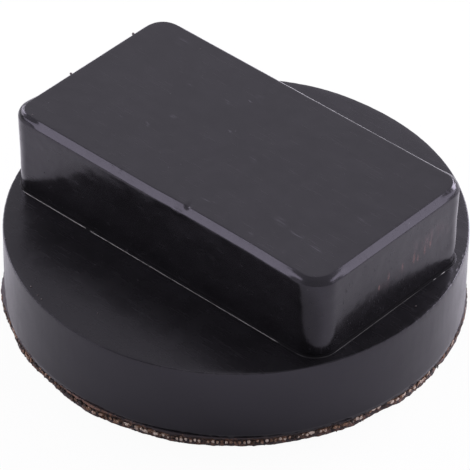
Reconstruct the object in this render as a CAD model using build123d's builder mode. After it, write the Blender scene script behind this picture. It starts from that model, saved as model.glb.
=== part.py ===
from build123d import *
import os
from math import atan2, degrees

# A rubber jack pad: a round pad with a rectangular lug moulded on its top, and a canvas ply bonded
# under it. Sizes are in millimetres. The origin is the middle of the resting face, +Z is up, and
# X runs along the lug.

# Round pad
pad_diameter = 62.0
pad_thickness = 11.0
rim_radius = 0.15

# Lug, measured at its widest, just under its chamfered top edge
lug_length = 54.5
lug_width = 29.6
lug_height = 12.8
lug_corner_radius = 3.0
lug_chamfer = 0.85
lug_undercut = 0.4

# Root of the lug: a small hollow radius, with the mould's flash line standing at its toe
root_radius = 0.36
root_bury = 0.2
flash_width = 0.14
flash_height = 0.1

# Canvas ply under the pad, with bundles of cut yarn ends round its edge
ply_thickness = 1.5
ply_overhang = 0.12
yarn_bundles = 120
yarn_notch_depth = 0.22

# Places that follow from the sizes above
pad_radius = pad_diameter / 2
deck_level = ply_thickness + pad_thickness
root_length = lug_length - 2 * lug_undercut
root_width = lug_width - 2 * lug_undercut
root_corner_radius = lug_corner_radius - lug_undercut
lug_wall_height = lug_height - lug_chamfer
lug_lean = degrees(atan2(lug_undercut, lug_wall_height))
ply_radius = pad_radius + ply_overhang


# The pad and its lug are one moulding, and the lug's walls lean out towards its top
with BuildPart() as rubber_pad:
    with BuildSketch(Plane.XY.offset(ply_thickness)):
        Circle(pad_radius)
    extrude(amount=pad_thickness)
    fillet(rubber_pad.edges().sort_by(Axis.Z)[-1], rim_radius)

    with BuildSketch(Plane.XY.offset(deck_level)) as lug_root:
        RectangleRounded(root_length, root_width, root_corner_radius)
    extrude(amount=lug_wall_height, taper=-lug_lean)
    with BuildSketch(Plane.XY.offset(deck_level + lug_wall_height)):
        RectangleRounded(lug_length, lug_width, lug_corner_radius)
    extrude(amount=lug_chamfer, taper=45)

    # The root's section, with X outwards and Y upwards, is swept once round the foot of the lug
    root_path = lug_root.sketch.wire()
    along = root_path % 0
    outward = along.cross(Vector(0, 0, 1))
    root_plane = Plane(origin=root_path @ 0, x_dir=outward, z_dir=-along)
    with BuildSketch(root_plane) as root_section:
        with BuildLine():
            toe = (root_radius, 0)
            wall_point = (0, root_radius)
            RadiusArc(wall_point, toe, -root_radius)
            Polyline(
                toe,
                (root_radius + flash_width / 2, flash_height),
                (root_radius + flash_width, 0),
                (root_radius + flash_width, -root_bury),
                (-root_bury, -root_bury),
                (-root_bury, root_radius),
                wall_point,
            )
        make_face()
    sweep(sections=root_section.sketch, path=root_path)
rubber_pad.part.label = "rubber_pad"

# The ply meets the rubber face to face, and its cut edge stands a little proud between the notches
with BuildPart() as canvas_ply:
    with BuildSketch():
        Circle(ply_radius)
        with PolarLocations(ply_radius, yarn_bundles):
            RegularPolygon(yarn_notch_depth, side_count=4, mode=Mode.SUBTRACT)
    extrude(amount=ply_thickness)
canvas_ply.part.label = "canvas_ply"

os.makedirs("parts", exist_ok=True)
export_step(rubber_pad.part, "parts/rubber_pad.step")
export_step(canvas_ply.part, "parts/canvas_ply.step")
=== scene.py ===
import math
import random

import bmesh
import bpy
from mathutils import Matrix, Vector, noise


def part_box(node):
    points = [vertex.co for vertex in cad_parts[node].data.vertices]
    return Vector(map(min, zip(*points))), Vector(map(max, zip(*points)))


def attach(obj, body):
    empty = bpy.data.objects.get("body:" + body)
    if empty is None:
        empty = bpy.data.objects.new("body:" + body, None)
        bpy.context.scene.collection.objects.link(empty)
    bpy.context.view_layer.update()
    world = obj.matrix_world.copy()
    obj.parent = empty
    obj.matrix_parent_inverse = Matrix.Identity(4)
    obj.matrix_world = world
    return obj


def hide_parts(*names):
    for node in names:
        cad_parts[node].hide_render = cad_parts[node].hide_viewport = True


# A rubber jack pad: a round pad with a rectangular lug on its top and a canvas ply bonded under it.

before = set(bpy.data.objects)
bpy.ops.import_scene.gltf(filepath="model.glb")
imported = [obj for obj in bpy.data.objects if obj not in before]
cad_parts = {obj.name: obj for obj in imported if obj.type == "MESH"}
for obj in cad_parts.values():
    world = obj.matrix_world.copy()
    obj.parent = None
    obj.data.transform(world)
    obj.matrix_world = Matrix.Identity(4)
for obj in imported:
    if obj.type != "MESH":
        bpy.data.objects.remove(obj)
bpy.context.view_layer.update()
dice = random.Random(7)

# The object is modelled in millimetres and scaled to metres once each piece is whole.
MM = 0.001
DIAGONAL = math.sqrt(0.5)
pad_low, pad_high = (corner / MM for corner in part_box("rubber_pad"))
_, ply_high = (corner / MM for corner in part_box("canvas_ply"))

# Round pad, with its softened rim and the level of the deck that the lug stands on
PAD_RADIUS = pad_high.x
PAD_BOTTOM = pad_low.z
DECK = 12.5
RIM_RADIUS = 0.15

# Lug: its size at its widest, and half sizes at its foot, from where the walls lean out
LUG_TOP = pad_high.z
LUG_LENGTH, LUG_WIDTH = 54.5, 29.6
LUG_UNDERCUT = 0.4
FOOT_HALF_LENGTH = LUG_LENGTH / 2 - LUG_UNDERCUT
FOOT_HALF_WIDTH = LUG_WIDTH / 2 - LUG_UNDERCUT

# How the walls lean out on their way up, in shares of the undercut: at the foot already, over the
# first quarter of the height, evenly all the way, and over the upper half
LEAN_AT_FOOT, LEAN_LOW, LEAN_EVEN, LEAN_HIGH = 0.3, 0.3, 0.04, 0.36

# Chamfer round the lug's top: the level of its lower edge, the swell of its face, and the softness of
# its edges. The lower edge hangs lower on the sides towards -Y and +X, and towards +Y it stands higher
# by a share of that.
CHAMFER = 0.85
SHOULDER = LUG_TOP - CHAMFER
CHAMFER_CROWN = 0.006
EDGE_SOFTNESS = 0.08
CHAMFER_DROP = 0.10
FAR_CHAMFER_SHARE = 0.8

# Between these limits the lug's top goes over into its sides towards -Y, +Y and +X
NEAR_SIDE, FAR_SIDE, END_SIDE = (-12, -13.6), (12, 13.6), (24.5, 26)

# The lug's upright corners differ a little: their radii from +X +Y round by -X to +X -Y. Round each
# corner, and a little way along the sides from it, the chamfer is rounded over by its own amount.
FOOT_CORNERS = (2.6, 3.2, 2.4, 3.1)
CORNER_ROUNDING = (0.1, 0.0, 0.17, 0.1)
CORNER_REACH = 2.6

# Foot of the lug: a hollow radius, then the raised flash line of the mould
ROOT_RADIUS = 0.36
FLASH_WIDTH = 0.1
FLASH_HEIGHT = 0.05
TOE = ROOT_RADIUS + FLASH_WIDTH

# Columns of the moulding's mesh, evenly spaced round the foot of the lug, and its rows: up the pad's
# side, round its rim, over the deck, in the root, up the lug's wall and over its top
SPOKES = 640
SIDE_ROWS, RIM_ROWS, DECK_ROWS, ROOT_ROWS, WALL_ROWS, TOP_ROWS = 20, 5, 20, 4, 30, 18

# Unevenness of the moulded faces: the size and depth of its broad swells and its small dimples, and
# the dimples of the walls
SWELL_SIZE, SWELL_DEPTH = 4.5, 0.035
DIMPLE_SIZE, DIMPLE_DEPTH = 1.4, 0.010
WALL_DIMPLE_SIZE, WALL_DIMPLE_DEPTH = 1.15, 0.018

# How far the lug's top has sunk, and the rises and sags of the deck: angle, width in degrees, and mm
SUNK = 0.03
DECK_WARP = ((114, 17, 0.3), (290, 30, -0.14), (187, 13, 0.14))

# The long side towards -Y is drawn in near its top edge, between two ramps along X and from a level up.
# The upper edge of its chamfer lies further out.
BOW_START, BOW_END, BOW_LEVEL = (-3, 4), (21, 14), 20
BOW_DEPTH, BOW_EASE = 0.17, 0.09

# Nibbles of the pad's rim: size and depth, the angle round which they are deepest, and the ramp from
# there to the least share of their depth
RIM_NIBBLE_SIZE, RIM_NIBBLE_DEPTH = 0.6, 0.11
RIM_WEAR_ANGLE, RIM_WEAR_RAMP, RIM_WEAR_LEAST = 10, (32, 12), 0.35

# Small nicks in the lug's top edge: size and depth, and the depth below which none shows
EDGE_NICK_SIZE, EDGE_NICK_DEPTH, EDGE_NICK_LEAST = 0.7, 0.09, 0.03

# One larger nick in the top's edge, and lumps on the chamfer beside it: place, radius, and depth or height
NICK = ((4.0, -13.95, 25.3), 0.3, 0.14)
LUMPS = (((2.4, -14.9, 24.2), 0.5, 0.07), ((3.3, -14.9, 24.35), 0.3, 0.06))

# Crumbs that lie on the moulding, and nibs of flash on its top edge towards -X: place and radius
CRUMBS = (
    ((-24.1, -13.6, 25.2), 0.12),
    ((-17.6, 12.1, 25.2), 0.09),
    ((-10.4, -28.35, 12.5), 0.12),
    ((-8.6, -28.95, 12.5), 0.11),
    ((-7.7, -29.2, 12.5), 0.1),
    ((-19.7, -23.6, 12.5), 0.1),
    ((-0.4, -26.3, 12.5), 0.08),
    ((22.6, 5.2, 25.2), 0.07),
    ((29.0, 2.6, 12.55), 0.1),
)
NIBS = (((-27.1, -3.17, 24.7), 0.17), ((-27.1, 9.03, 24.7), 0.19))

# Canvas ply: its radius to the yarns' tips, how ragged they are, and the turn of its weave from the
# lug's length
PLY_TOP = ply_high.z
PLY_RADIUS = PAD_RADIUS + 0.02
RAGGEDNESS = 0.08
WEAVE_TURN = math.radians(-49)

# Its yarns: pitch, size, level and crimp, how far in from the edge they are modelled, and how pale
# they are behind their cut tips, as a share of the tip's shade
YARN_PITCH = 0.58
YARN_WIDTH = 0.42
YARN_HEIGHT = 0.54
YARN_LEVEL = 0.69
YARN_CRIMP = 0.09
YARN_DEPTH = 0.7
YARN_SIDES = 8
SOAKED_SHARE = 0.55

# They lie higher towards +X, from one angle to another, and a row of finer yarns lies under them
RIGHT_RISE, RIGHT_RAMP = 0.2, (-45, -20)
FINE_LEVEL, FINE_SIZE, FINE_INSET = 0.17, 0.42, 0.05

# Rings that round off a yarn's cut tip: scale and inset. The last few take the tip's own shade.
YARN_TIP = ((1.0, 0.07), (0.86, 0.01), (0.45, 0.0), (0.0, 0.02))
TIP_RINGS = 3

# Columns of the mesh of the ply's rubber-soaked core
CORE_SPOKES = 720

# The core's section, from its top round to its underside: distance outside the ply's circle, and
# level. Rubber skims over the yarns and under them.
CORE_SECTION = (
    (-12, PLY_TOP),
    (-0.1, PLY_TOP),
    (0.0, 1.42),
    (-0.03, 1.3),
    (-0.1, 1.2),
    (-0.18, 1.1),
    (-0.26, 0.9),
    (-0.26, 0.5),
    (-0.2, 0.42),
    (-0.1, 0.36),
    (-0.02, 0.28),
    (0.0, 0.2),
    (-0.02, 0.1),
    (-0.1, 0.04),
    (-0.5, 0.03),
    (-12, 0.12),
)

# Woven underside: its depth, and the cells of its mesh to each yarn
WEAVE_DEPTH = 0.24
CELLS_PER_YARN = 3

# Places where the ply's cut edge lies inside or outside its circle: angle, width in degrees, and mm
EDGE_WANDER = (
    (-136, 9, 0.42),
    (-121, 3.5, -0.2),
    (-101, 6, -0.3),
    (-84, 4, 0.2),
    (-62, 6, 0.2),
    (-31, 7, -0.15),
    (-11, 5, -0.5),
    (10, 12, -0.15),
    (13, 1.6, -0.2),
    (38, 8, 0.15),
)

# Parts of the cut edge where rubber has soaked the yarns darker, or left them paler: angle, width in
# degrees, and shade
EDGE_SOAK = ((-98, 22, -0.55), (-140, 20, -0.3), (-54, 20, 0.32), (30, 22, -0.45), (-20, 6, -0.1))


def finish_piece(bm, name, materials, body="root"):
    """Turns a bmesh in millimetres into a named object in metres that rides on a body."""
    bmesh.ops.remove_doubles(bm, verts=bm.verts, dist=1e-4)
    bmesh.ops.recalc_face_normals(bm, faces=bm.faces)
    bmesh.ops.scale(bm, vec=(MM, MM, MM), verts=bm.verts)
    mesh = bpy.data.meshes.new(name)
    bm.to_mesh(mesh)
    bm.free()
    mesh.shade_smooth()
    piece = bpy.data.objects.new(name, mesh)
    for material in materials:
        mesh.materials.append(material)
    bpy.context.scene.collection.objects.link(piece)
    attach(piece, body)
    return piece


def skin(bm, rings):
    """Walks a ring of edges through the given rings, and leaves a skin of quads behind it."""
    spoke = bm.verts.layers.int.get("spoke") or bm.verts.layers.int.new("spoke")
    made = bmesh.ops.create_circle(bm, cap_ends=True, segments=len(rings[0]), radius=1)["verts"]
    for number, vert in enumerate(made):
        vert[spoke] = number
        vert.co = rings[0][number]
    skinned = list(made)
    edges = list(dict.fromkeys(edge for vert in made for edge in vert.link_edges))
    for ring in rings[1:]:
        grown = bmesh.ops.extrude_edge_only(bm, edges=edges)["geom"]
        edges = [part for part in grown if isinstance(part, bmesh.types.BMEdge)]
        fresh = [part for part in grown if isinstance(part, bmesh.types.BMVert)]
        for vert in fresh:
            vert.co = ring[vert[spoke]]
        skinned += fresh
    return skinned


def steps(start, end, count):
    """Evenly spaced values after start, up to end."""
    return [start + (end - start) * (i + 1) / count for i in range(count)]


def smooth(value, low, high):
    """0 below low, 1 above high, and a smooth rise between them. Low may be the larger."""
    share = min(max((value - low) / (high - low), 0), 1)
    return share * share * (3 - 2 * share)


def ripple(point, size, depth):
    """A smooth random height at a point, for bumps of about this size."""
    return noise.noise(Vector(point) / size) * depth


def bumps(angle, table):
    """The sum of a table's smooth bumps at an angle in degrees."""
    return sum(amount * math.exp(-(((angle - middle) / width) ** 2)) for middle, width, amount in table)


# Rubber moulding


def foot_outline():
    """Even points round the rounded rectangle of the lug's foot, with the outward direction at each
    and how much the chamfer is rounded over there."""
    signs = [(1, 1), (-1, 1), (-1, -1), (1, -1)]
    turns = [Matrix.Rotation(math.pi / 2 * quarter, 3, "Z") for quarter in range(4)]
    centres, sides = [], []
    for quarter, (sx, sy) in enumerate(signs):
        corner, before = FOOT_CORNERS[quarter], FOOT_CORNERS[quarter - 1]
        centres.append(Vector((sx * (FOOT_HALF_LENGTH - corner), sy * (FOOT_HALF_WIDTH - corner), 0)))
        full = FOOT_HALF_LENGTH if quarter % 2 else FOOT_HALF_WIDTH
        sides.append(2 * full - corner - before)
    arcs = [math.pi / 2 * corner for corner in FOOT_CORNERS]
    perimeter = sum(sides) + sum(arcs)
    points, directions, roundings = [], [], []
    for spoke in range(SPOKES):
        # The walk starts half way up the +X side and goes round by +Y, -X and -Y.
        walk = (perimeter * spoke / SPOKES + sides[0] / 2) % perimeter
        quarter = 0
        while walk >= sides[quarter] + arcs[quarter]:
            walk -= sides[quarter] + arcs[quarter]
            quarter += 1
        corner, beyond = FOOT_CORNERS[quarter], walk - sides[quarter]
        angle = max(beyond, 0) / corner
        out = turns[quarter] @ Vector((math.cos(angle), math.sin(angle), 0))
        along = turns[quarter] @ Vector((0, min(beyond, 0), 0))
        points.append(centres[quarter] + out * corner + along)
        directions.append(out)
        # A point on a side lies between this corner and the one before it.
        near, far = CORNER_ROUNDING[quarter], CORNER_ROUNDING[quarter - 1]
        side = near * smooth(-beyond, CORNER_REACH, 0) + far * smooth(walk, CORNER_REACH, 0)
        roundings.append(side if beyond < 0 else near)
    return points, directions, roundings


FOOT, OUTWARD, ROUNDING = foot_outline()


def pad_ring(radius, z):
    """A round ring of the pad."""
    return [point.normalized() * radius + Vector((0, 0, z)) for point in FOOT]


def foot_ring(offset, z, arch=0.0):
    """A ring of the lug, set out from its foot, and arched further out and up at its corners."""
    ring = []
    for point, out, rounding in zip(FOOT, OUTWARD, ROUNDING):
        more = rounding * arch
        ring.append(point + out * (offset + more) + Vector((0, 0, z + more)))
    return ring


def between(inner, outer, share):
    """A ring part of the way from one ring to another."""
    return [a.lerp(b, share) for a, b in zip(inner, outer)]


def lean(z):
    """How far the wall stands outside the foot: it leans out at its foot and again towards its
    shoulder, and is nearly upright between."""
    share = (z - DECK) / (SHOULDER - DECK)
    rise = LEAN_AT_FOOT + LEAN_LOW * smooth(share, 0, 0.25) + LEAN_EVEN * share
    return LUG_UNDERCUT * (rise + LEAN_HIGH * smooth(share, 0.5, 1.0))


def lower_rings():
    """The moulding's rings from its bonded face up round the pad, over the deck and up the root."""
    rings = [pad_ring(PAD_RADIUS * 0.5, PAD_BOTTOM), pad_ring(PAD_RADIUS - 0.02, PAD_BOTTOM)]
    rings += [pad_ring(PAD_RADIUS, z) for z in steps(PAD_BOTTOM, DECK - RIM_RADIUS, SIDE_ROWS)]
    for angle in steps(0, math.pi / 2, RIM_ROWS):
        inset = RIM_RADIUS * (1 - math.cos(angle))
        rings.append(pad_ring(PAD_RADIUS - inset, DECK - RIM_RADIUS * (1 - math.sin(angle))))
    deck_edge, deck_toe = rings[-1], foot_ring(TOE + 0.03, DECK)
    rings += [between(deck_edge, deck_toe, share) for share in steps(0, 1, DECK_ROWS)]
    rings.append(foot_ring(TOE, DECK))
    rings.append(foot_ring(ROOT_RADIUS + FLASH_WIDTH * 0.5, DECK + FLASH_HEIGHT))
    stand = lean(DECK)
    for angle in steps(0, math.pi / 2, ROOT_ROWS):
        rise = ROOT_RADIUS * (1 - math.cos(angle))
        rings.append(foot_ring(stand + (ROOT_RADIUS - stand) * (1 - math.sin(angle)), DECK + rise))
    return rings


def upper_rings():
    """The moulding's rings up the lug's wall, over its chamfer and to the middle of its top."""
    rings = [foot_ring(lean(z), z) for z in steps(DECK + ROOT_RADIUS, SHOULDER - EDGE_SOFTNESS, WALL_ROWS)]
    # Half way round each softened edge of the chamfer
    aside, along = EDGE_SOFTNESS * 0.12, EDGE_SOFTNESS * 0.15
    rings.append(foot_ring(LUG_UNDERCUT - aside, SHOULDER - along))
    soft = EDGE_SOFTNESS * DIAGONAL
    low = Vector((LUG_UNDERCUT - soft, SHOULDER + soft))
    high = Vector((LUG_UNDERCUT - CHAMFER + soft, LUG_TOP - soft))
    for share in (0, 0.15, 0.3, 0.5, 0.7, 0.85, 1):
        arch = 4 * share * (1 - share)
        crown = DIAGONAL * CHAMFER_CROWN * arch
        offset, z = low.lerp(high, share)
        rings.append(foot_ring(offset + crown, z + crown, DIAGONAL * arch))
    rings.append(foot_ring(LUG_UNDERCUT - CHAMFER + along, LUG_TOP - aside))
    top_edge = foot_ring(LUG_UNDERCUT - CHAMFER - EDGE_SOFTNESS, LUG_TOP)
    middle = [Vector((0, 0, LUG_TOP)) for _ in top_edge]
    rings.append(top_edge)
    rings += [between(top_edge, middle, share) for share in (0.015, *steps(0.03, 0.95, TOP_ROWS), 1)]
    return rings


def bow(point):
    """How far the long side towards -Y is drawn in near its top edge, over part of its length. The
    upper edge of its chamfer lies a little further out."""
    along = smooth(point.x, *BOW_START) * smooth(point.x, *BOW_END)
    up = min(max((point.z - SHOULDER) / CHAMFER, 0), 1)
    drawn = BOW_DEPTH * along * smooth(point.z, BOW_LEVEL, SHOULDER) - BOW_EASE * up
    return drawn * smooth(point.y, *NEAR_SIDE)


def drop(point):
    """How far the chamfer's lower edge hangs below its level on the sides towards -Y and +X, where
    the chamfer is a little steeper. Towards +Y it is a little flatter."""
    side = max(smooth(point.y, *NEAR_SIDE), smooth(point.x, *END_SIDE))
    side -= FAR_CHAMFER_SHARE * smooth(point.y, *FAR_SIDE) * smooth(abs(point.x), *reversed(END_SIDE))
    share = min((LUG_TOP - point.z) / CHAMFER, 1) * smooth(point.z, SHOULDER - 0.6, SHOULDER)
    return CHAMFER_DROP * side * max(share, 0)


def warp(point):
    """How far the deck lies above or below its level: it sags a little in front, and rises behind and
    at the end towards -X."""
    angle = math.degrees(math.atan2(point.y, point.x)) % 360
    outward = smooth(math.hypot(point.x, point.y), 16, PAD_RADIUS)
    return outward * bumps(angle, DECK_WARP)


def edge_nick(point, offset):
    """How deep the edge of the lug's top is nicked, a little less round its corners."""
    edge = smooth(offset, -0.8, -0.55) * smooth(offset, -0.1, -0.4)
    edge *= smooth(point.z, SHOULDER + 0.3, LUG_TOP - 0.2)
    edge *= smooth(min(FOOT_HALF_LENGTH - abs(point.x), FOOT_HALF_WIDTH - abs(point.y)), 3, 1)
    nick = ripple(point + Vector((7, 3, 0)), EDGE_NICK_SIZE, EDGE_NICK_DEPTH)
    return edge * max(nick - EDGE_NICK_LEAST, 0)


def rim_nibble(point):
    """How deep the pad's rim is nibbled."""
    radius = math.hypot(point.x, point.y)
    at_rim = smooth(radius, PAD_RADIUS - 0.5, PAD_RADIUS - 0.2) * smooth(point.z, DECK - 0.6, DECK - 0.3)
    angle = math.degrees(math.atan2(point.y, point.x))
    wear_and_highlight = smooth(abs(angle - RIM_WEAR_ANGLE), *RIM_WEAR_RAMP)
    wear_and_highlight = RIM_WEAR_LEAST + (1 - RIM_WEAR_LEAST) * wear_and_highlight
    return at_rim * wear_and_highlight * abs(ripple(point + Vector((40, 0, 0)), RIM_NIBBLE_SIZE, RIM_NIBBLE_DEPTH))


def lump(point, place, radius, height):
    """A small round lump."""
    return height * math.exp(-((point - Vector(place)).length / radius) ** 2)


def weather(vert, offset):
    """Moves a point of the moulding as the swells, dimples, nibbled rim and nicks of the real one do.
    The offset is how far the point lies outside the lug's foot."""
    point, normal = vert.co.copy(), vert.normal.copy()
    below = smooth(point.z, SHOULDER, SHOULDER - 0.8)
    height = below * ripple(point, SWELL_SIZE, SWELL_DEPTH) + ripple(point, DIMPLE_SIZE, DIMPLE_DEPTH)
    wall = smooth(point.z, DECK + 0.5, DECK + 1.5) * below
    height += wall * ripple(point + Vector((0, 0, 30)), WALL_DIMPLE_SIZE, WALL_DIMPLE_DEPTH)
    height -= edge_nick(point, offset)
    height -= rim_nibble(point)
    height -= lump(point, *NICK)
    height += sum(lump(point, *one) for one in LUMPS)
    sunk = SUNK * smooth(point.z, DECK + 2, SHOULDER - 1)
    lift = warp(point) * (point.z - PAD_BOTTOM) / (DECK - PAD_BOTTOM) if offset > TOE else 0
    vert.co = point + normal * height + Vector((0, bow(point), lift - drop(point) - sunk))


def make_moulding(moulded, cut, flash, root):
    """The round pad and its lug, one moulding."""
    bm = bmesh.new()
    skin(bm, lower_rings() + upper_rings())
    bmesh.ops.remove_doubles(bm, verts=bm.verts, dist=1e-5)
    bmesh.ops.recalc_face_normals(bm, faces=bm.faces)
    bm.normal_update()
    spoke = bm.verts.layers.int["spoke"]

    def outside(place, number):
        return (place - FOOT[number]).dot(OUTWARD[number])

    for face in bm.faces:
        middle = face.calc_center_median()
        away = outside(middle, face.verts[0][spoke])
        if middle.z < DECK - RIM_RADIUS:
            face.material_index = 1
        elif ROOT_RADIUS < away < TOE and DECK < middle.z < DECK + FLASH_HEIGHT:
            face.material_index = 2
        elif 0 < away < ROOT_RADIUS and middle.z < DECK + ROOT_RADIUS:
            face.material_index = 3
    for vert in bm.verts:
        if PAD_BOTTOM + 0.1 < vert.co.z:
            weather(vert, outside(vert.co, vert[spoke]))
    return finish_piece(bm, "rubber_moulding", (moulded, cut, flash, root))


def make_crumbs(material):
    """Crumbs of rubber and dust that lie on the moulding, and the nibs of flash."""
    bm = bmesh.new()
    for place, radius in CRUMBS + NIBS:
        middle = Vector(place)
        if middle.z < SHOULDER:
            middle.z += warp(middle)
        made = bmesh.ops.create_icosphere(bm, subdivisions=2, radius=radius)["verts"]
        for vert in made:
            vert.co += vert.co.normalized() * ripple(vert.co + middle, radius, 0.7 * radius)
            vert.co += middle
    return finish_piece(bm, "crumbs", (material,))


# Canvas ply


def wander(angle):
    """How far the ply's cut edge lies outside its circle, in millimetres, at an angle in degrees."""
    return bumps(angle, EDGE_WANDER)


def core_ring(out, z):
    """A ring of the ply's rubber-soaked core, this far outside the ply's circle. Its level wavers
    where it isn't on the ply's faces."""
    ring = []
    for spoke in range(CORE_SPOKES):
        angle = math.tau * spoke / CORE_SPOKES
        way = Vector((math.cos(angle), math.sin(angle), 0))
        degrees = (math.degrees(angle) + 180) % 360 - 180
        place = way * PLY_RADIUS + Vector((0, 0, z * 2))
        radius = PLY_RADIUS + out + wander(degrees)
        radius += ripple(place, 0.9, 0.16)
        radius += ripple(place, 0.3, 0.06)
        level = z + (ripple(place + Vector((0, 0, 9)), 1.2, 0.2) if 0.3 < z < 1.4 else 0)
        ring.append(way * radius + Vector((0, 0, level)))
    return ring


def make_ply_core(material):
    """The ply's core: a skim of rubber over the yarns and under them, drawn back between the two."""
    rings = [core_ring(out, z) for out, z in CORE_SECTION]
    bm = bmesh.new()
    skin(bm, rings)
    edges = [edge for edge in bm.edges if edge.is_boundary]
    bmesh.ops.edgeloop_fill(bm, edges=edges)
    return finish_piece(bm, "ply_core", (material,))


def yarn_section(along, offset, level, scale, cut_radius=None):
    """A ring round a yarn that runs along X. A cut radius puts it on the cylinder of the ply's edge."""
    ring = []
    for side in range(YARN_SIDES):
        angle = math.tau * side / YARN_SIDES
        lateral = offset + YARN_WIDTH / 2 * scale * math.cos(angle)
        z = level + YARN_HEIGHT / 2 * scale * math.sin(angle)
        reach = along
        if cut_radius:
            reach = math.sqrt(max(cut_radius**2 - lateral**2, 0.04))
        ring.append(Vector((reach, lateral, z)))
    return ring


def cut_yarn(offset, middle, crimp, size, cut_radius):
    """Rings along one yarn, from inside the ply to its cut end, in the weave's own axes."""
    tip = math.sqrt(max(cut_radius**2 - offset**2, 0.04))
    start = math.sqrt(max((cut_radius - YARN_DEPTH) ** 2 - offset**2, 0))
    count = max(2, round((tip - start) / (YARN_PITCH / 2)))

    def level(along):
        return middle + crimp * math.cos(math.pi * along / YARN_PITCH)

    rings = []
    for step in range(count):
        share = step / count
        height = level(start + (tip - start) * share)
        rings.append(yarn_section(start + (tip - 0.1 - start) * share, offset, height, size))
    end = level(tip)
    for scale, inset in YARN_TIP:
        rings.append(yarn_section(0, offset, end, size * scale, cut_radius - inset))
    return rings


def add_yarn(whole, rings, tint):
    """Adds one yarn to the others. It is pale at its cut tip, and soaked dark behind it."""
    bm = bmesh.new()
    shade = bm.verts.layers.float.new("shade")
    for number, vert in enumerate(skin(bm, rings)):
        at_tip = number >= YARN_SIDES * (len(rings) - TIP_RINGS)
        vert[shade] = min(max(tint, 0), 1) * (1 if at_tip else SOAKED_SHARE)
        vert.co += vert.co.xy.normalized().to_3d() * ripple(vert.co, 0.22, 0.05)
    mesh = bpy.data.meshes.new("yarn")
    bm.to_mesh(mesh)
    bm.free()
    whole.from_mesh(mesh)
    bpy.data.meshes.remove(mesh)


def make_yarn_ends(material):
    """The cut yarns round the ply's edge, both ways of the weave, each with its own shade."""
    whole = bmesh.new()
    count = int((PLY_RADIUS - 0.35) / YARN_PITCH)
    for quarter in range(4):
        turn = Matrix.Rotation(WEAVE_TURN + math.pi / 2 * quarter, 3, "Z")
        for row in range(-count, count + 1):
            offset = row * YARN_PITCH + dice.uniform(-0.05, 0.05)
            away = WEAVE_TURN + math.pi / 2 * quarter + math.asin(max(min(offset / PLY_RADIUS, 1), -1))
            angle = (math.degrees(away) + 180) % 360 - 180
            cut_radius = PLY_RADIUS + wander(angle) + dice.uniform(-1, 1) * RAGGEDNESS
            crimp = YARN_CRIMP * (1 if (row + quarter) % 2 else -1)
            patch = noise.noise(Vector((math.cos(away), math.sin(away), 0)) * 7)
            tone = dice.betavariate(1.1, 0.8) + 0.4 * patch + bumps(angle, EDGE_SOAK)
            level = YARN_LEVEL + RIGHT_RISE * smooth(angle, *RIGHT_RAMP)
            between_yarns, fine_radius = offset + YARN_PITCH / 2, cut_radius - FINE_INSET
            main = cut_yarn(offset, level, crimp, dice.uniform(0.85, 1.1), cut_radius)
            fine = cut_yarn(between_yarns, FINE_LEVEL, 0, FINE_SIZE, fine_radius)
            for rings, tint in ((main, tone), (fine, tone * dice.random())):
                add_yarn(whole, [[turn @ point for point in ring] for ring in rings], tint)
    return finish_piece(whole, "yarn_ends", (material,))


def weave_height(x, y):
    """Height of a plain weave's surface above its lowest point, in its own axes."""
    column, row = round(x / YARN_PITCH), round(y / YARN_PITCH)
    side = 1 if column % 2 == 0 else -1
    end = 1 if row % 2 == 0 else -1
    across_x = min(abs(x / YARN_PITCH - column) * 2 * 0.98, 1)
    across_y = min(abs(y / YARN_PITCH - row) * 2 * 0.98, 1)
    along_y = side * math.cos(math.pi * y / YARN_PITCH) + 1.6 * math.sqrt(1 - across_x**2)
    along_x = -end * math.cos(math.pi * x / YARN_PITCH) + 1.6 * math.sqrt(1 - across_y**2)
    return (max(along_y, along_x) + 0.4) / 3


def make_weave_face(material):
    """The woven underside of the ply."""
    bm = bmesh.new()
    crown = bm.verts.layers.float.new("shade")
    cells = CELLS_PER_YARN * int(2 * PLY_RADIUS / YARN_PITCH)
    half_cell = YARN_PITCH / (2 * CELLS_PER_YARN)
    half = cells * YARN_PITCH / (2 * CELLS_PER_YARN)
    bmesh.ops.create_grid(bm, x_segments=cells, y_segments=cells, size=half)
    outside = [vert for vert in bm.verts if vert.co.length > PLY_RADIUS - 0.7]
    bmesh.ops.delete(bm, geom=outside, context="VERTS")
    for vert in bm.verts:
        height = weave_height(vert.co.x + half_cell, vert.co.y + half_cell)
        soak = ripple(vert.co, 5, 0.5)
        vert[crown] = min(max(height * 0.8 + soak, 0), 1)
        vert.co.z = WEAVE_DEPTH * (1 - min(height, 1))
    bmesh.ops.rotate(bm, verts=bm.verts, matrix=Matrix.Rotation(WEAVE_TURN, 3, "Z"))
    piece = finish_piece(bm, "weave_face", (material,))
    piece.data.flip_normals()
    return piece


# Materials


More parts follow.
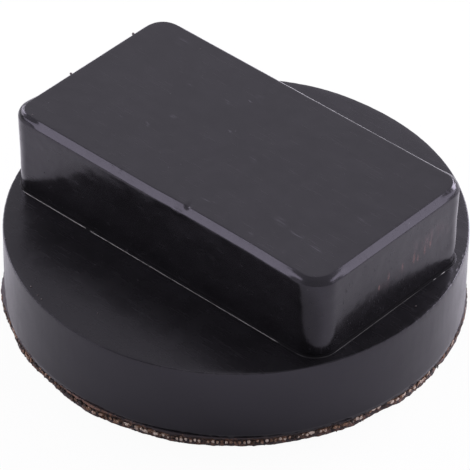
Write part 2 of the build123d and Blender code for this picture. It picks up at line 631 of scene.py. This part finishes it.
class Nodes:
    """A short way to write a material's nodes."""

    def __init__(self, name):
        self.material = bpy.data.materials.new(name)
        self.material.use_nodes = True
        self.tree = self.material.node_tree
        self.shader = self.tree.nodes["Principled BSDF"]
        self.place = self.node("ShaderNodeTexCoord").outputs["Object"]

    def node(self, kind, inputs=(), **settings):
        """Adds a node, sets what is named, and links or sets its inputs by name or number."""
        node = self.tree.nodes.new(kind)
        for key, value in settings.items():
            setattr(node, key, value)
        for key, value in dict(inputs).items():
            if isinstance(value, bpy.types.NodeSocket):
                self.tree.links.new(value, node.inputs[key])
            else:
                node.inputs[key].default_value = value
        return node

    def math(self, operation, a, b=0.0):
        """One step of arithmetic."""
        return self.node("ShaderNodeMath", {0: a, 1: b}, operation=operation).outputs[0]

    def times(self, a, b):
        """The product of two values."""
        return self.math("MULTIPLY", a, b)

    def most(self, a, b):
        """The larger of two values."""
        return self.math("MAXIMUM", a, b)

    def axes(self):
        """The X, Y and Z of a place on the piece, in metres."""
        return self.node("ShaderNodeSeparateXYZ", {0: self.place}).outputs

    def grain(self, per_mm, detail=2.0, stretch=(1, 1, 1), turn=0.0):
        """Noise from 0 to 1, with this many bumps to a millimetre."""
        scale = [per_mm / MM * share for share in stretch]
        settings = {"Vector": self.place, "Rotation": (0, 0, turn), "Scale": scale}
        turned = self.node("ShaderNodeMapping", settings).outputs[0]
        settings = {"Vector": turned, "Scale": 1.0, "Detail": detail, "Roughness": 0.55}
        return self.node("ShaderNodeTexNoise", settings).outputs["Fac"]

    def step(self, value, low, high, start=0.0, end=1.0):
        """A smooth step from start to end as the value goes from low to high."""
        settings = {"Value": value, "From Min": low, "From Max": high, "To Min": start, "To Max": end}
        return self.node("ShaderNodeMapRange", settings, interpolation_type="SMOOTHSTEP").outputs["Result"]

    def spot(self, middle, reach, turn=0.0, edge=0.4):
        """1 inside an ellipsoid at a place in millimetres, fading to 0 outside it."""
        settings = {
            "Vector": self.place,
            "Location": [value * MM for value in middle],
            "Rotation": (0, 0, turn),
            "Scale": [value * MM for value in reach],
        }
        local = self.node("ShaderNodeMapping", settings, vector_type="TEXTURE").outputs[0]
        far = self.node("ShaderNodeVectorMath", {0: local}, operation="LENGTH").outputs["Value"]
        return self.step(far, 1.0, edge)

    def spots(self, places, edge):
        """The most of several spots, each given by its middle, reach and turn."""
        most = 0.0
        for middle, reach, turn in places:
            most = self.most(self.spot(middle, reach, turn, edge), most)
        return most

    def blend(self, share, low, high):
        """A colour between two colours."""
        mixer = self.node("ShaderNodeMix", {0: share}, data_type="RGBA")
        for socket, value in ((mixer.inputs[6], low), (mixer.inputs[7], high)):
            if isinstance(value, bpy.types.NodeSocket):
                self.tree.links.new(value, socket)
            else:
                socket.default_value = (*value, 1)
        return mixer.outputs[2]

    def bump(self, height, depth_mm, under=None):
        """A bump of this depth, over another bump if there is one."""
        settings = {"Height": height, "Distance": depth_mm * MM, "Strength": 1.0}
        if under:
            settings["Normal"] = under
        return self.node("ShaderNodeBump", settings).outputs["Normal"]

    def set(self, **inputs):
        """Sets or links the shader's inputs, whose names are written with underscores."""
        for key, value in inputs.items():
            socket = self.shader.inputs[key.replace("_", " ")]
            if isinstance(value, bpy.types.NodeSocket):
                self.tree.links.new(value, socket)
            else:
                socket.default_value = value
        return self.material


# Tint of the reflections on the rubber and the soaked canvas
REFLECTION_TINT = (0.9, 0.86, 1.0, 1.0)

# Pale scuffs on the moulding: middle, reach of each along and across, all in millimetres, and turn
SCUFFS = (
    ((-11.7, -4.6, 25.3), (1.0, 0.35, 0.6), -0.7),
    ((-2.7, 1.6, 25.3), (0.8, 0.3, 0.6), -0.6),
    ((-5.1, 8.2, 25.3), (0.7, 0.25, 0.6), -0.6),
    ((22.4, -0.7, 25.3), (2.2, 0.22, 0.6), -0.05),
    ((5.2, -11.2, 25.3), (1.6, 0.25, 0.6), 0.15),
    ((2.4, -14.7, 24.3), (0.8, 0.6, 0.25), 0.0),
    ((18.2, -8.6, 25.3), (1.7, 0.5, 0.6), -0.05),
    ((21.8, -9.2, 25.3), (1.6, 0.45, 0.6), -0.05),
    ((18.4, -14.7, 22.1), (0.8, 0.6, 0.12), 0.0),
)

# Patches of faint scratches on the top, written in the same way
SCRATCHED = (
    ((-20.6, 11.6, 25.3), (1.8, 0.9, 0.6), 0.0),
    ((-7.2, 6.0, 25.3), (1.2, 0.6, 0.6), -0.6),
    ((-10.1, -1.4, 25.3), (0.9, 0.7, 0.6), -0.6),
    ((-15.1, -6.0, 25.3), (0.8, 0.6, 0.6), -0.6),
    ((-13.4, 5.6, 25.3), (0.9, 0.5, 0.6), -0.6),
    ((-4.2, 9.3, 25.3), (1.5, 0.7, 0.6), -0.3),
    ((3.6, -0.9, 25.3), (1.2, 0.6, 0.6), -0.4),
    ((14.8, -8.1, 25.3), (1.6, 0.9, 0.6), -0.2),
    ((19.2, -12.3, 25.3), (0.6, 0.5, 0.6), -0.2),
    ((13.6, -12.7, 25.3), (1.0, 0.6, 0.6), 0.2),
)

# How much the scratches show, where a scuff shows fully
SCRATCHED_SHARE = 0.5

# A pale smear on the chamfer, beside the nick, written in the same way
SMEAR = ((2.7, -14.8, 24.15), (1.0, 0.8, 0.35), 0.0)

# Rusty streaks down the end wall towards +X: middle and half height. Their reach in X and Y is shared.
STREAKS = (
    ((26.9, -2.7, 17.9), 0.8),
    ((26.9, -0.9, 18.7), 1.1),
    ((26.9, 1.9, 18.5), 1.2),
    ((26.9, 4.2, 18.6), 1.4),
    ((26.9, 5.0, 18.2), 0.9),
    ((26.9, 6.3, 18.8), 1.2),
    ((26.9, 7.4, 19.2), 1.3),
)
STREAK_REACH = (1.2, 0.42)

# Two brushed stains round the streaks, written as scuffs are
LOWER_STAIN = ((26.9, -1.2, 17.6), (1.5, 4.5, 0.9), 0.0)
UPPER_STAIN = ((26.9, 7.5, 20.0), (1.5, 6.0, 2.6), 0.0)

# Corners of the lug whose reflection is darkened as painted shade: middle, reach, where the spot is whole,
# and the share
SHADED_CORNERS = (
    ((-26.3, -13.8, 24.75), (2.6, 2.6, 0.6), 0.5, 0.85),
    ((25.0, -14.4, 18.0), (2.7, 2.7, 8.5), 0.4, 0.4),
)


def add_scuffs(nodes, colour, hairs):
    """Adds a smear, the pale scuffs and the faint scratches to the rubber's colour."""
    smear = nodes.times(nodes.spot(*SMEAR, 0.3), nodes.step(nodes.grain(2.0), 0.35, 0.6))
    colour = nodes.blend(smear, colour, (0.032, 0.03, 0.034))
    scratched = nodes.times(nodes.spots(SCRATCHED, 0.2), SCRATCHED_SHARE)
    scuffed = nodes.most(nodes.spots(SCUFFS, 0.2), scratched)
    scuffed = nodes.times(scuffed, nodes.step(hairs, 0.45, 0.62))
    return nodes.blend(scuffed, colour, (0.045, 0.043, 0.05))


def add_rust(nodes, colour):
    """Adds the rusty streaks and stains of the end wall to the rubber's colour."""
    rusty = nodes.spots([(middle, (*STREAK_REACH, half), 0.0) for middle, half in STREAKS], 0.0)
    runs = nodes.step(nodes.grain(3.2, 2.0, (1.0, 1.0, 0.3)), 0.3, 0.6, 0.2, 1.0)
    colour = nodes.blend(nodes.times(rusty, runs), colour, (0.115, 0.055, 0.05))
    brushed = nodes.most(nodes.times(nodes.spot(*LOWER_STAIN, 0.1), 0.6), nodes.spot(*UPPER_STAIN, 0.1))
    fine_runs = nodes.step(nodes.grain(2.6, 2.0, (1.0, 1.0, 0.12)), 0.45, 0.7)
    return nodes.blend(nodes.times(brushed, fine_runs), colour, (0.055, 0.031, 0.034))


def add_painted_rim_highlight(nodes, colour):
    """Adds a painted highlight along the pad's rim, in front, to the rubber's colour."""
    settings = {0: nodes.place, 1: (1, 1, 0)}
    level = nodes.node("ShaderNodeVectorMath", settings, operation="MULTIPLY").outputs[0]
    radius = nodes.node("ShaderNodeVectorMath", {0: level}, operation="LENGTH").outputs["Value"]
    front = nodes.spot((18.2, -25.1, 12.5), (9.5, 9.5, 1.5))
    # Painted highlight: a pale line along the rim's edge, where its rounding would catch the light
    wear_and_highlight = nodes.times(nodes.step(radius, 30.76 * MM, 30.84 * MM), front)
    wear_and_highlight = nodes.times(wear_and_highlight, nodes.step(nodes.grain(0.7, 3.0), 0.35, 0.6, 0.3, 1.0))
    return nodes.blend(wear_and_highlight, colour, (0.03, 0.029, 0.031))


def darkened_reflection_tint(nodes, on_deck, y):
    """The tint of the rubber's reflection, darker on the deck towards -Y, and darker at two corners of the
    lug as painted shade.
    """
    darkened = nodes.times(on_deck, nodes.step(y, 16.0 * MM, -2.0 * MM, 0.0, 0.36))
    # Painted shade: the reflections at these corners are darkened
    for middle, reach, edge, share in SHADED_CORNERS:
        darkened = nodes.most(darkened, nodes.times(nodes.spot(middle, reach, 0.0, edge), share))
    return nodes.blend(darkened, REFLECTION_TINT[:3], (0.0, 0.0, 0.0))


def moulded_rubber(name, shine):
    """Satin black rubber as it comes from the mould, a little scuffed."""
    nodes = Nodes(name)
    axes = nodes.axes()
    patches = nodes.grain(0.3, 3.0)
    hairs = nodes.grain(1.0, 3.0, (0.3, 3.2, 1.0), 0.55)
    hair_lines = nodes.step(hairs, 0.56, 0.7)
    on_deck = nodes.step(axes["Z"], 12.9 * MM, 12.75 * MM)

    colour = nodes.blend(patches, (0.005, 0.0047, 0.0051), (0.0105, 0.01, 0.011))
    colour = add_scuffs(nodes, colour, hairs)
    colour = add_rust(nodes, colour)
    specks = nodes.step(nodes.grain(1.7, 1.0), 0.76, 0.84)
    colour = nodes.blend(specks, colour, (0.045, 0.042, 0.046))
    # The pale line along the rim in front is a painted highlight
    colour = add_painted_rim_highlight(nodes, colour)

    rough = nodes.step(patches, 0.3, 0.7, 0.18, 0.23)
    rough = nodes.math("ADD", rough, nodes.times(hair_lines, 0.08))
    rough = nodes.math("ADD", rough, nodes.times(on_deck, 0.06))
    fine = nodes.math("ADD", nodes.grain(5.0, 2.0), nodes.times(hair_lines, 0.9))
    relief = nodes.bump(nodes.grain(0.9, 2.0), 0.006)
    relief = nodes.bump(fine, 0.0021, relief)
    return nodes.set(
        Base_Color=colour,
        Roughness=rough,
        Normal=relief,
        IOR=1.5,
        Specular_IOR_Level=shine,
        Specular_Tint=darkened_reflection_tint(nodes, on_deck, axes["Y"]),
    )


def cut_rubber():
    """The pad's cut side, with faint streaks from its top to its bottom."""
    nodes = Nodes("cut_rubber")
    streaks = nodes.grain(1.1, 3.0, (1.0, 1.0, 0.09))
    fine = nodes.grain(4.5, 2.0, (1.0, 1.0, 0.16))
    patches = nodes.grain(0.25, 3.0)
    colour = nodes.blend(streaks, (0.0045, 0.0042, 0.0048), (0.01, 0.0096, 0.011))
    rough = nodes.step(nodes.math("ADD", patches, streaks), 0.7, 1.3, 0.18, 0.25)
    relief = nodes.bump(streaks, 0.012)
    relief = nodes.bump(fine, 0.003, relief)
    return nodes.set(
        Base_Color=colour,
        Roughness=rough,
        Normal=relief,
        IOR=1.5,
        Specular_Tint=REFLECTION_TINT,
        Sheen_Weight=0.06,
        Sheen_Roughness=0.3,
        Sheen_Tint=(0.9, 0.87, 1.0, 1.0),
    )


def flash_line():
    """The thin flash round the lug's foot, dusty grey except where it is broken off."""
    nodes = Nodes("flash_line")
    axes = nodes.axes()
    dusty = nodes.step(nodes.grain(0.8, 3.0, (1.0, 1.0, 0.4)), 0.3, 0.5, 0.35, 1.0)
    gap = nodes.spot((-13.05, -14.7, 12.5), (0.5, 1.2, 1.0), 0.0, 0.7)
    gap = nodes.most(gap, nodes.spot((22.3, -14.7, 12.5), (1.9, 1.2, 1.0), 0.0, 0.8))
    corner = nodes.times(nodes.spot((25.3, -13.0, 12.5), (3.0, 3.0, 1.0), 0.0, 0.8), 0.75)
    whole = nodes.math("SUBTRACT", 1.0, nodes.most(gap, corner))

    # It fades out at the end towards -X, in two stages towards +X, and behind.
    left = nodes.step(axes["X"], -25.5 * MM, -24.0 * MM)
    middle = nodes.step(axes["X"], -13.0 * MM, 8.0 * MM, 1.0, 0.6)
    right = nodes.times(middle, nodes.step(axes["X"], 22.0 * MM, 26.0 * MM, 1.0, 0.34))
    fainter = nodes.times(nodes.times(left, right), nodes.step(axes["Y"], 6.0 * MM, 3.0 * MM))
    specks = nodes.spot((27.4, 8.5, 12.5), (0.8, 0.3, 1.0))
    specks = nodes.most(specks, nodes.spot((27.4, 10.2, 12.5), (0.8, 0.5, 1.0)))
    share = nodes.times(nodes.times(dusty, whole), nodes.most(fainter, specks))
    colour = nodes.blend(share, (0.008, 0.008, 0.009), (0.52, 0.51, 0.5))
    relief = nodes.bump(nodes.grain(3.0), 0.01)
    return nodes.set(Base_Color=colour, Roughness=0.5, Normal=relief, Specular_IOR_Level=0.12)


def crumb_rubber():
    """Dusty crumbs of rubber."""
    nodes = Nodes("crumb_rubber")
    colour = nodes.blend(nodes.grain(2.0), (0.04, 0.034, 0.036), (0.2, 0.16, 0.16))
    return nodes.set(Base_Color=colour, Roughness=0.6, Normal=nodes.bump(nodes.grain(6.0), 0.01))


def soaked_canvas():
    """Canvas soaked with rubber, almost black with brown where its threads come near."""
    nodes = Nodes("soaked_canvas")
    threads = nodes.grain(2.2, 4.0, (1.0, 1.0, 0.6))
    browner = nodes.times(nodes.spot((-3.0, -31.0, 1.2), (18.0, 12.0, 6.0), 0.0, 0.3), 0.24)
    upper = nodes.step(nodes.axes()["Z"], 1.0 * MM, 1.3 * MM)
    halo = nodes.times(upper, nodes.math("SUBTRACT", browner, 0.12))
    brown = nodes.step(nodes.math("ADD", threads, halo), 0.44, 0.66)
    colour = nodes.blend(brown, (0.035, 0.026, 0.024), (0.19, 0.1, 0.065))
    relief = nodes.bump(nodes.grain(4.0, 3.0), 0.03)
    return nodes.set(Base_Color=colour, Roughness=0.6, Normal=relief, Specular_Tint=REFLECTION_TINT)


def cotton(name, cream):
    """Cotton yarn, from rubber-soaked black through tan to cream by its shade."""
    nodes = Nodes(name)
    shade = nodes.node("ShaderNodeAttribute", attribute_name="shade").outputs["Fac"]
    fibres = nodes.grain(7.0, 3.0)
    value = nodes.math("ADD", shade, nodes.step(fibres, 0.3, 0.7, -0.22, 0.16))
    dark = nodes.blend(nodes.step(value, 0.15, 0.45), (0.035, 0.025, 0.022), (0.27, 0.145, 0.085))
    colour = nodes.blend(nodes.step(value, 0.45, 0.8), dark, cream)
    relief = nodes.bump(fibres, 0.03)
    return nodes.set(Base_Color=colour, Roughness=0.85, Normal=relief)


# Camera and light

# The camera as fitted to the edges in the photograph: degrees, millimetres and pixels
CAMERA_AZIMUTH = -48.38
CAMERA_ELEVATION = 39.33
CAMERA_DISTANCE = 557.2
CAMERA_ROLL = 0.70
CAMERA_TARGET_HEIGHT = 12.0
CAMERA_PAN = -0.12
CAMERA_LIFT = -1.60
PHOTO_SIDE = 470
FOCAL_PIXELS = 4191.0
SENSOR = 36.0

# Brightness of the room, where 1 is white. It is brightest behind the object and darkest in front of
# it. In reflections its front is less dark.
ROOM_FRONT, ROOM_BACK = 0.02, 0.88
ROOM_FRONT_IN_GLOSS = 0.6
ROOM_COLOUR = (0.99, 0.96, 1.04)
FLOOR_WHITE_TO_CAMERA = 0.95
FLOOR_WHITE_IN_GLOSS = 0.03

# Softboxes: azimuth and elevation in degrees, width and height in metres, and brightness
LAMP_COLOUR = (1.0, 0.95, 1.08)
LAMP_DISTANCE = 1.2
SOFTBOXES = {
    "left_softbox": (-127, 22, 0.68, 0.43, 2.7),
    "right_softbox": (42, 21, 1.2, 0.48, 2.5),
    "far_left_softbox": (178, 27, 0.9, 0.48, 6.4),
    "far_right_softbox": (86, 27, 0.9, 0.48, 9.6),
}


def heading(azimuth, elevation):
    """The direction at these angles in degrees."""
    a, e = math.radians(azimuth), math.radians(elevation)
    return Vector((math.cos(e) * math.cos(a), math.cos(e) * math.sin(a), math.sin(e)))


def make_camera():
    """The camera at the photograph's viewing angle, fitted to the pad's edges."""
    back = heading(CAMERA_AZIMUTH, CAMERA_ELEVATION)
    right = Vector((0, 0, 1)).cross(back).normalized()
    up = back.cross(right)
    target = Vector((0, 0, CAMERA_TARGET_HEIGHT)) + right * CAMERA_PAN + up * CAMERA_LIFT
    place = (target + back * CAMERA_DISTANCE) * MM
    turn = Matrix((right, up, back)).transposed().to_4x4()
    roll = Matrix.Rotation(math.radians(CAMERA_ROLL), 4, "Z")
    camera = bpy.data.cameras.new("camera")
    camera.sensor_width = SENSOR
    camera.lens = FOCAL_PIXELS / PHOTO_SIDE * SENSOR
    camera.clip_start = 0.01
    camera.clip_end = 20
    holder = bpy.data.objects.new("camera", camera)
    holder.matrix_world = Matrix.Translation(place) @ turn @ roll
    bpy.context.scene.collection.objects.link(holder)
    bpy.context.scene.camera = holder


def white_floor():
    """A matt white floor, which looks whiter still to the camera, and barely so in reflections."""
    nodes = Nodes("white_floor")
    nodes.set(Base_Color=(0.88, 0.88, 0.88, 1), Roughness=0.9, Specular_IOR_Level=0.0)
    path = nodes.node("ShaderNodeLightPath").outputs
    seen = nodes.most(path["Is Camera Ray"], path["Is Transmission Ray"])
    share = nodes.times(seen, FLOOR_WHITE_TO_CAMERA)
    share = nodes.math("ADD", share, nodes.times(path["Is Glossy Ray"], FLOOR_WHITE_IN_GLOSS))
    white = nodes.node("ShaderNodeEmission", {"Color": (1, 1, 1, 1), "Strength": 1.0}).outputs[0]
    mixed = nodes.node("ShaderNodeMixShader", {0: share, 1: nodes.shader.outputs[0], 2: white})
    nodes.tree.links.new(mixed.outputs[0], nodes.tree.nodes["Material Output"].inputs["Surface"])
    return nodes.material


def make_floor():
    """A plain white floor."""
    bm = bmesh.new()
    bmesh.ops.create_grid(bm, x_segments=1, y_segments=1, size=3)
    mesh = bpy.data.meshes.new("floor")
    bm.to_mesh(mesh)
    bm.free()
    mesh.materials.append(white_floor())
    floor = bpy.data.objects.new("floor", mesh)
    bpy.context.scene.collection.objects.link(floor)


def softbox(name, azimuth, elevation, width, height, brightness):
    """A soft lamp that faces the object. Its power follows from its size and brightness."""
    lamp = bpy.data.lights.new(name, "AREA")
    lamp.shape = "RECTANGLE"
    lamp.size, lamp.size_y = width, height
    lamp.color = LAMP_COLOUR
    lamp.energy = brightness * math.pi * width * height
    place = heading(azimuth, elevation) * LAMP_DISTANCE
    holder = bpy.data.objects.new(name, lamp)
    holder.location = place
    holder.rotation_euler = (-place).to_track_quat("-Z", "Y").to_euler()
    bpy.context.scene.collection.objects.link(holder)


def make_light():
    """A white room with softboxes to the left and right of the object and on its far side."""
    world = bpy.data.worlds.new("room")
    world.use_nodes = True
    tree = world.node_tree
    background = tree.nodes["Background"]
    background.inputs["Color"].default_value = (*ROOM_COLOUR, 1)
    way = tree.nodes.new("ShaderNodeTexCoord")
    behind = tree.nodes.new("ShaderNodeVectorMath")
    behind.operation = "DOT_PRODUCT"
    behind.inputs[1].default_value = heading(CAMERA_AZIMUTH + 180, 0)
    tree.links.new(way.outputs["Generated"], behind.inputs[0])
    fade = tree.nodes.new("ShaderNodeMapRange")
    for name, value in (("From Min", -1), ("From Max", 1), ("To Max", ROOM_BACK)):
        fade.inputs[name].default_value = value
    path = tree.nodes.new("ShaderNodeLightPath")
    front = tree.nodes.new("ShaderNodeMapRange")
    for name, value in (("To Min", ROOM_FRONT), ("To Max", ROOM_FRONT_IN_GLOSS)):
        front.inputs[name].default_value = value
    tree.links.new(path.outputs["Is Glossy Ray"], front.inputs["Value"])
    tree.links.new(front.outputs["Result"], fade.inputs["To Min"])
    tree.links.new(behind.outputs["Value"], fade.inputs["Value"])
    tree.links.new(fade.outputs["Result"], background.inputs["Strength"])
    bpy.context.scene.world = world
    for name, settings in SOFTBOXES.items():
        softbox(name, *settings)


skin_rubber = moulded_rubber("moulded_rubber", 0.5)
root_rubber = moulded_rubber("root_rubber", 0.05)
moulding = make_moulding(skin_rubber, cut_rubber(), flash_line(), root_rubber)
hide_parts("rubber_pad")
crumbs = make_crumbs(crumb_rubber())

core = make_ply_core(soaked_canvas())
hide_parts("canvas_ply")
ends = make_yarn_ends(cotton("yarn_ends", (0.74, 0.62, 0.52)))
weave = make_weave_face(cotton("woven_face", (0.3, 0.22, 0.17)))

make_camera()
make_floor()
make_light()
bpy.context.scene.view_settings.view_transform = "Standard"
